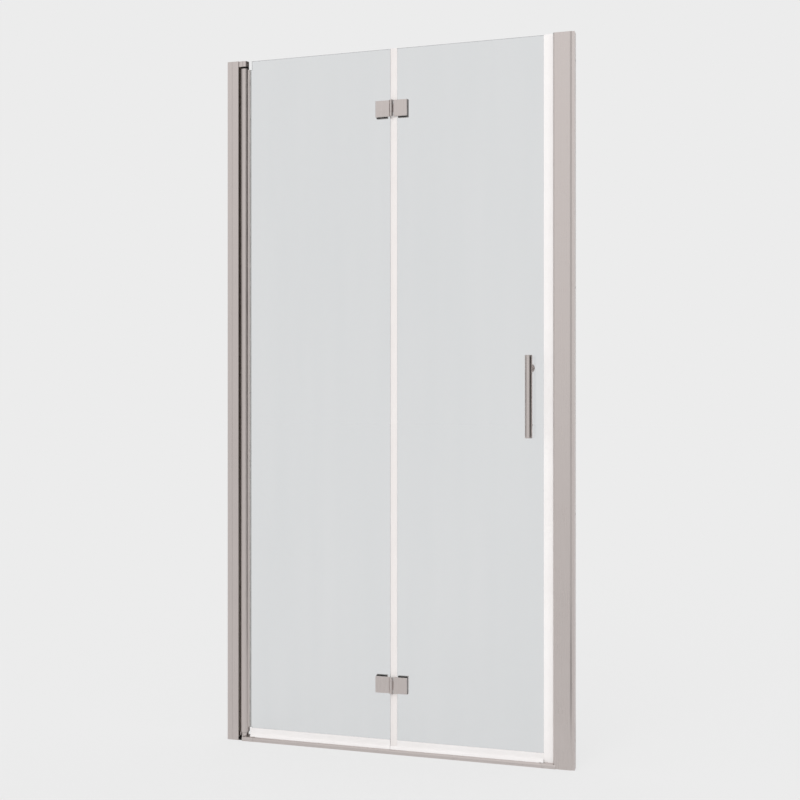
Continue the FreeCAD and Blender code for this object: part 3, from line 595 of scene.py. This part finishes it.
def bottomStripOutline(node):
    # clip under the pane, a front skirt that flares out over the rail, and a thin fin that leans inwards
    low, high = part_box(node)
    h, g = strip["clipHalf"], strip["gripHalf"]
    top, web = paneLow.z - strip["play"], paneLow.z - bottom["web"]
    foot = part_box("closing_seal")[0].z
    fin, tip = bottom["fin"], high.y
    (frontIn, frontUp), (backIn, backUp) = bottom["finFront"], bottom["finBack"]
    skirt, bend = bottom["skirt"], low.z + bottom["flareHeight"]
    hem, back = low.z - bottom["skirtDrop"], high.z - strip["backShort"]
    corners = [(low.y, hem), (-h, bend), (-h, high.z), (-g, high.z), (-g, top), (g, top), (g, back),
               (h, back), (h, web), (tip - backIn, foot + backUp), (tip, foot + fin), (tip - fin, foot),
               (tip - frontIn, foot + frontUp), (h - fin, web - fin), (h - fin, web),
               (-h + skirt, web), (-h + skirt, bend), (low.y + skirt, hem)]
    r = bottom["round"]
    outline = roundedOutline(corners, [r, bottom["bendOuter"]] + [r] * 14 + [bottom["bendInner"], r], 6)
    soft = np.clip((web - outline[:, 1]) / (web - foot), 0, 1) * (outline[:, 0] > 0)
    return outline, soft


boot = {"root": 0.4 * mm, "lap": 0.5 * mm, "stations": 6}


def bootOutline(node):
    # the skirt's flare alone: a straight blade from the rail up to the front of the fold strip
    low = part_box(node)[0]
    root = -strip["clipHalf"] + boot["root"]
    hem, bend = low.z - bottom["skirtDrop"], low.z + bottom["flareHeight"]
    corners = [(low.y, hem), (root, bend + boot["root"]), (root, bend - bottom["skirt"]),
               (low.y + bottom["skirt"], hem)]
    return roundedOutline(corners, strip["fine"], 6)


def bottomStrip(name, node, body, phase, reachLeft, reachRight, bootStart=None):
    # the strip's outline carried along the pane; its skirt is cut back over the rail's end caps,
    # and where a boot is asked for its flare goes on in front of the fold strip
    low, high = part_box(node)
    x0, x1 = low.x - reachLeft, high.x + reachRight
    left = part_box("rail_cap_hinge")[1].x + bottom["notch"]
    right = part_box("rail_cap_strike")[0].x - bottom["notch"]
    cuts = [x + d for x in (left, right) for d in (-bottom["cut"], bottom["cut"]) if x0 < x < x1]
    stations = np.unique(np.concatenate([np.linspace(x0, x1, bottom["stations"]), cuts]))
    lowest = np.where((stations > left) & (stations < right), low.z - bottom["skirtDrop"], capTop)
    outline, soft = bottomStripOutline(node)
    parts = [carryAcross(outline, stations, soft, lowest, bottom["ripple"], phase)]
    if bootStart is not None:
        blade, along = bootOutline(node), np.linspace(bootStart, x0 + boot["lap"], boot["stations"])
        parts.append(carryAcross(blade, along, np.zeros(len(blade)), np.zeros(len(along))))
    addPiece(name, parts, body, finishes["levelStrip"], [node])


bottomStrip("pivotBottomStrip", "pivot_bottom_seal", "pivot_leaf", bottom["pivotPhase"],
            bottom["stileReach"], 0.0)
bottomStrip("foldBottomStrip", "fold_bottom_seal", "fold_leaf", bottom["foldPhase"],
            bottom["endGap"], bottom["endGap"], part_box("fold_seal")[0].x)
print("white strips and stile gasket made")

pad = {"inner": 3.0 * mm, "outer": 4.0 * mm, "corner": 2.0 * mm, "bulge": 0.25 * mm, "inset": 0.2 * mm}


def hingePads(side, body):
    # a pad on each face of the pane behind each hinge plate
    parts = []
    i, near, far = pad["inset"], pad["inner"], pad["outer"]
    for place in ("top", "bottom"):
        low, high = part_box(f"{place}_hinge_{side}_clamp")
        for y0, y1, (z0, z1) in ((-far, -near, nodeSpan(f"{place}_hinge_{side}_plate")),
                                 (near, far, (low.z, high.z))):
            parts.append(softPad(low.x + i, high.x - i, y0, y1, z0 + i, z1 - i, pad["corner"], pad["bulge"]))
    addPiece(f"{side}HingePads", parts, body, finishes["padRubber"], [f"{side}_hinge_pads"])


sleeve = {"outer": 4.9 * mm, "inner": 2.65 * mm, "round": 0.3 * mm, "inset": 11.0 * mm}


def hingeSleeves(side, body):
    # short tubes that line the pane's screw holes
    low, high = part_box(f"{side}_hinge_sleeves")
    x = (low.x + high.x) / 2
    parts = []
    section = roundedOutline([(sleeve["inner"], low.y), (sleeve["outer"], low.y),
                              (sleeve["outer"], high.y), (sleeve["inner"], high.y)], sleeve["round"], 4)
    for place in ("top", "bottom"):
        z = sum(nodeSpan(f"{place}_hinge_{side}_clamp")) / 2
        for up in (-1, 1):
            parts.append(turnedRing(x, z + up * sleeve["inset"], section))
    addPiece(f"{side}HingeSleeves", parts, body, finishes["clearGasket"],
             [f"{side}_hinge_sleeves"])


for side, body in (("pivot", "pivot_leaf"), ("fold", "fold_leaf")):
    hingePads(side, body)
    hingeSleeves(side, body)

washer = {
    "bore": 3.3 * mm,
    "neck": 4.5 * mm,
    "rim": 6.0 * mm,
    "root": 0.1 * mm,
    "seat": 3.0 * mm,
    "top": 4.0 * mm,
    "round": 0.3 * mm,
}


def handleWashers():
    # soft collars on both faces of the pane, each with a short neck in the hole
    low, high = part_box("handle_washers")
    x = (low.x + high.x) / 2
    parts = []
    for z in (low.z + washer["rim"], high.z - washer["rim"]):
        for face in (-1, 1):
            root, seat, top = face * washer["root"], face * washer["seat"], face * washer["top"]
            section = [(washer["bore"], root), (washer["neck"], root), (washer["neck"], seat),
                       (washer["rim"], seat), (washer["rim"], top), (washer["bore"], top)]
            parts.append(turnedRing(x, z, roundedOutline(section, washer["round"], 4)))
    addPiece("handleWashers", parts, "fold_leaf", finishes["clearGasket"], ["handle_washers"])


handleWashers()

# painted shade: a dark pad where the pocket's foot is only in shade
footShadePad = {"thick": 3.0 * mm, "clear": 0.2 * mm, "corner": 1.5 * mm, "bulge": 0.2 * mm}


def jambFootShadePad():
    # a flat dark pad that closes the foot of the jamb's pocket as far as the rail's cap, a painted shade for
    # the pocket's dark foot:
    # a rounded rectangle carried up, drawn in at both faces by a half circle
    c = footShadePad["clear"]
    x0, x1 = pocketRange[0][0] + 2 * c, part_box("rail_cap_hinge")[0].x - c
    y0, y1 = pocketRange[1][0] + c, pocketRange[1][1] - c
    grid, (quads, ends) = softPad(x0, x1, c, footShadePad["thick"], y0, y1, footShadePad["corner"], footShadePad["bulge"])
    upright = grid[..., [0, 2, 1]], (quads[:, ::-1], [end[::-1] for end in ends])
    addPiece("jambFootShadePad", [upright], "frame", finishes["padRubber"], [])


jambFootShadePad()
print("pads, sleeves and washers made")

# light levels, and the wall's tone by direction in degrees: 0 in front of the door, 90 on the right
studio = {
    "pale": 0.839,
    "fill": 0.72,
    "sun": 1.2,
    "sunFrom": (0.0, -0.81, 0.58),
    "sunSoft": 50.0,
    "shadowShare": 0.18,
    "floorShade": 0.9,
    "floorGlow": 0.837,
    "floorGloss": 0.72,
    "floorSize": 40.0,
    "roomRadius": 4.0,
    "roomHeight": 9.0,
    "roomAngle": (-180, -174, -166, -150, -138, -115, -90, -60, -42, -30, -24, -15, -8,
                  2, 12, 22, 34, 46, 58, 75, 160, 168, 174, 180),
    "roomShade": (0.55, 0.50, 0.12, 0.10, 0.13, 0.16, 0.20, 0.50, 0.71, 0.78, 0.765, 0.69, 0.83,
                  0.84, 0.80, 0.71, 0.50, 0.18, 0.065, 0.045, 0.045, 0.12, 0.50, 0.55),
    "roomLift": (0.95, 0.5),
    "roomWarm": (1.0, 0.93, 0.86),
    "warmBelow": 0.5,
    "cardShade": 0.05,
}


def stageSheet(name, grid):
    # an open sheet of the stage through a grid of points
    rows, cols = grid.shape[:2]
    i, j = np.meshgrid(np.arange(rows - 1), np.arange(cols - 1), indexing="ij")
    quads = np.stack([i * cols + j, i * cols + j + 1, (i + 1) * cols + j + 1, (i + 1) * cols + j], -1)
    mesh = bpy.data.meshes.new(name)
    mesh.from_pydata(grid.reshape(-1, 3).tolist(), [], quads.reshape(-1, 4).tolist())
    obj = bpy.data.objects.new(name, mesh)
    bpy.context.scene.collection.objects.link(obj)
    return obj


def seenPale(tree):
    # 1 for rays that look at the stage directly, in a mirror or through glass,
    # 0 for light that falls on things
    path = tree.nodes.new("ShaderNodeLightPath")
    first = tree.nodes.new("ShaderNodeMath")
    first.operation = "MAXIMUM"
    second = tree.nodes.new("ShaderNodeMath")
    second.operation = "MAXIMUM"
    tree.links.new(path.outputs["Is Camera Ray"], first.inputs[0])
    tree.links.new(path.outputs["Is Glossy Ray"], first.inputs[1])
    tree.links.new(first.outputs[0], second.inputs[0])
    tree.links.new(path.outputs["Is Transmission Ray"], second.inputs[1])
    return second.outputs[0]


def makeWorld():
    # even light from all round, a little weaker than the pale background that the eye sees
    world = bpy.data.worlds.new("paleRoom")
    bpy.context.scene.world = world
    world.use_nodes = True
    tree = world.node_tree
    back = tree.nodes["Background"]
    back.inputs["Color"].default_value = (1, 1, 1, 1)
    tree.links.new(ramp(tree, seenPale(tree), studio["fill"], studio["pale"], 0, 1), back.inputs["Strength"])


def makeFloor():
    # pale floor: mostly an even glow to the eye, with a share of ordinary matt so the shadow stays
    s = studio["floorSize"]
    x, y = np.meshgrid(np.linspace(-s, s, 3), np.linspace(-s, s, 3))
    floor = stageSheet("floor", np.stack([x, y, np.zeros_like(x)], -1))
    mat, tree, shader = newFinish("paleFloor")
    shader.inputs["Base Color"].default_value = (*[studio["floorShade"]] * 3, 1)
    shader.inputs["Roughness"].default_value = 1.0
    shader.inputs["Specular IOR Level"].default_value = 0.0
    glow = tree.nodes.new("ShaderNodeEmission")
    glow.inputs["Color"].default_value = (1, 1, 1, 1)
    path = tree.nodes.new("ShaderNodeLightPath")
    mirrored = tree.nodes.new("ShaderNodeMath")
    mirrored.operation = "SUBTRACT"
    mirrored.use_clamp = True
    tree.links.new(path.outputs["Is Glossy Ray"], mirrored.inputs[0])
    tree.links.new(path.outputs["Is Transmission Ray"], mirrored.inputs[1])
    tree.links.new(ramp(tree, mirrored.outputs[0], studio["floorGlow"], studio["floorGloss"], 0, 1),
                   glow.inputs["Strength"])
    mix = tree.nodes.new("ShaderNodeMixShader")
    tree.links.new(ramp(tree, seenPale(tree), 0.0, 1 - studio["shadowShare"], 0, 1), mix.inputs["Fac"])
    tree.links.new(shader.outputs["BSDF"], mix.inputs[1])
    tree.links.new(glow.outputs["Emission"], mix.inputs[2])
    tree.links.new(mix.outputs["Shader"], tree.nodes["Material Output"].inputs["Surface"])
    floor.data.materials.append(mat)


# cards lie on the floor or stand on it: where each fades in and out, in metres or degrees
backCard = {"x": (-5.5, -4, 0.5, 2), "y": (2.6, 4.1, 11.1, 12.6), "z": 0.01}
rightCard = {
    "x": (0.6, 3.5),
    "y": (-3.0, 1.9),
    "z": 0.012,
    "stileX": -0.45,
    "turn": (42, 58, 112, 125),
    "fromX": (0.62, 0.80),
    "reach": (3.4, 4.0),
}
sideCard = {"x": (0.24, 0.51, 0.69, 0.78), "y": 0.35, "z": (0.02, 3), "shade": (0.06, 0.84, 0.84, 0.06)}
upDown = (0, 1, 1, 0)


def roomWall():
    # a round wall: its shade depends on the direction and rises slowly with height; dark parts are warmer
    angle, height = np.meshgrid(np.radians(np.linspace(-180, 180, 181)), np.linspace(0, 1, 13))
    r, h = studio["roomRadius"], studio["roomHeight"]
    wall = stageSheet("roomWall", np.stack([r * np.sin(angle), -r * np.cos(angle), h * height], -1))
    base, rise = studio["roomLift"]
    shade = np.interp(np.degrees(angle), studio["roomAngle"], studio["roomShade"])
    shade = np.where(height > 0, shade * (base + rise * height), studio["floorGloss"])
    deep = np.clip(1 - shade / studio["warmBelow"], 0, 1)[..., None]
    return wall, shade[..., None] * (1 - deep + deep * np.asarray(studio["roomWarm"]))


def floorCard(name, x, y, z, dark):
    # a flat sheet just above the floor that goes from the floor's tone to a dark one
    card = stageSheet(name, np.stack([x, y, np.full_like(x, z)], -1))
    return card, studio["floorGloss"] * (1 - dark) + studio["cardShade"] * dark


def backFloor():
    # behind the door the floor looks dark, with soft edges all round
    xs, ys = backCard["x"], backCard["y"]
    x, y = np.meshgrid(np.linspace(xs[0], xs[-1], 16), np.linspace(ys[0], ys[-1], 21))
    return floorCard("backCard", x, y, backCard["z"], np.interp(x, xs, upDown) * np.interp(y, ys, upDown))


def rightFloor():
    # to the stile's right the floor looks dark beyond the closing jamb's foot
    x, y = np.meshgrid(np.linspace(*rightCard["x"], 59), np.linspace(*rightCard["y"], 99))
    across = x - rightCard["stileX"]
    turn, reach = np.degrees(np.arctan2(across, -y)), np.hypot(across, y)
    dark = np.interp(turn, rightCard["turn"], upDown) * np.interp(x, rightCard["fromX"], (0, 1))
    return floorCard("rightCard", x, y, rightCard["z"], dark * np.interp(reach, rightCard["reach"], (1, 0)))


def besideJamb():
    # an upright card behind the closing jamb, light in its middle
    xs = sideCard["x"]
    x, z = np.meshgrid(np.linspace(xs[0], xs[-1], 7), np.linspace(*sideCard["z"], 3))
    card = stageSheet("sideCard", np.stack([x, np.full_like(x, sideCard["y"]), z], -1))
    return card, np.interp(x, xs, sideCard["shade"])


def makeRoom():
    # a wall and three cards that only polished surfaces see: bright in front, dark on the right
    mat, tree, shader = newFinish("roomCard")
    shader.inputs["Base Color"].default_value = (0, 0, 0, 1)
    shader.inputs["Specular IOR Level"].default_value = 0.0
    shader.inputs["Emission Strength"].default_value = 1.0
    paint = tree.nodes.new("ShaderNodeAttribute")
    paint.attribute_name = "shade"
    tree.links.new(paint.outputs["Color"], shader.inputs["Emission Color"])
    for card, tone in (roomWall(), backFloor(), rightFloor(), besideJamb()):
        count = len(card.data.vertices)
        colour = np.ones((count, 4))
        colour[:, :3] = tone.reshape(count, -1)
        layer = card.data.attributes.new("shade", "FLOAT_COLOR", "POINT")
        layer.data.foreach_set("color", colour.ravel())
        card.data.materials.append(mat)
        card.visible_camera = False
        card.visible_diffuse = False
        card.visible_transmission = False
        card.visible_shadow = False


def makeSun():
    # one wide soft sun from the front, unseen in mirrors and through glass
    lamp = bpy.data.lights.new("softSun", "SUN")
    lamp.energy = studio["sun"]
    lamp.angle = math.radians(studio["sunSoft"])
    obj = bpy.data.objects.new("softSun", lamp)
    obj.rotation_euler = (-Vector(studio["sunFrom"])).to_track_quat("-Z", "Y").to_euler()
    obj.visible_glossy = False
    obj.visible_transmission = False
    bpy.context.scene.collection.objects.link(obj)


camera = {"lens": 50, "sensor": 36, "at": (0.8575, -2.956, 0.977), "yaw": 15.91}


def makeCamera():
    # a level camera turned towards the door
    lens = bpy.data.cameras.new("doorCamera")
    lens.lens = camera["lens"]
    lens.sensor_width = camera["sensor"]
    obj = bpy.data.objects.new("doorCamera", lens)
    obj.location = camera["at"]
    obj.rotation_euler = (math.radians(90), 0, math.radians(camera["yaw"]))
    bpy.context.scene.collection.objects.link(obj)
    bpy.context.scene.camera = obj


makeWorld()
makeFloor()
makeRoom()
makeSun()
makeCamera()
bpy.context.scene.view_settings.view_transform = "Standard"
print("stage, light and camera set")
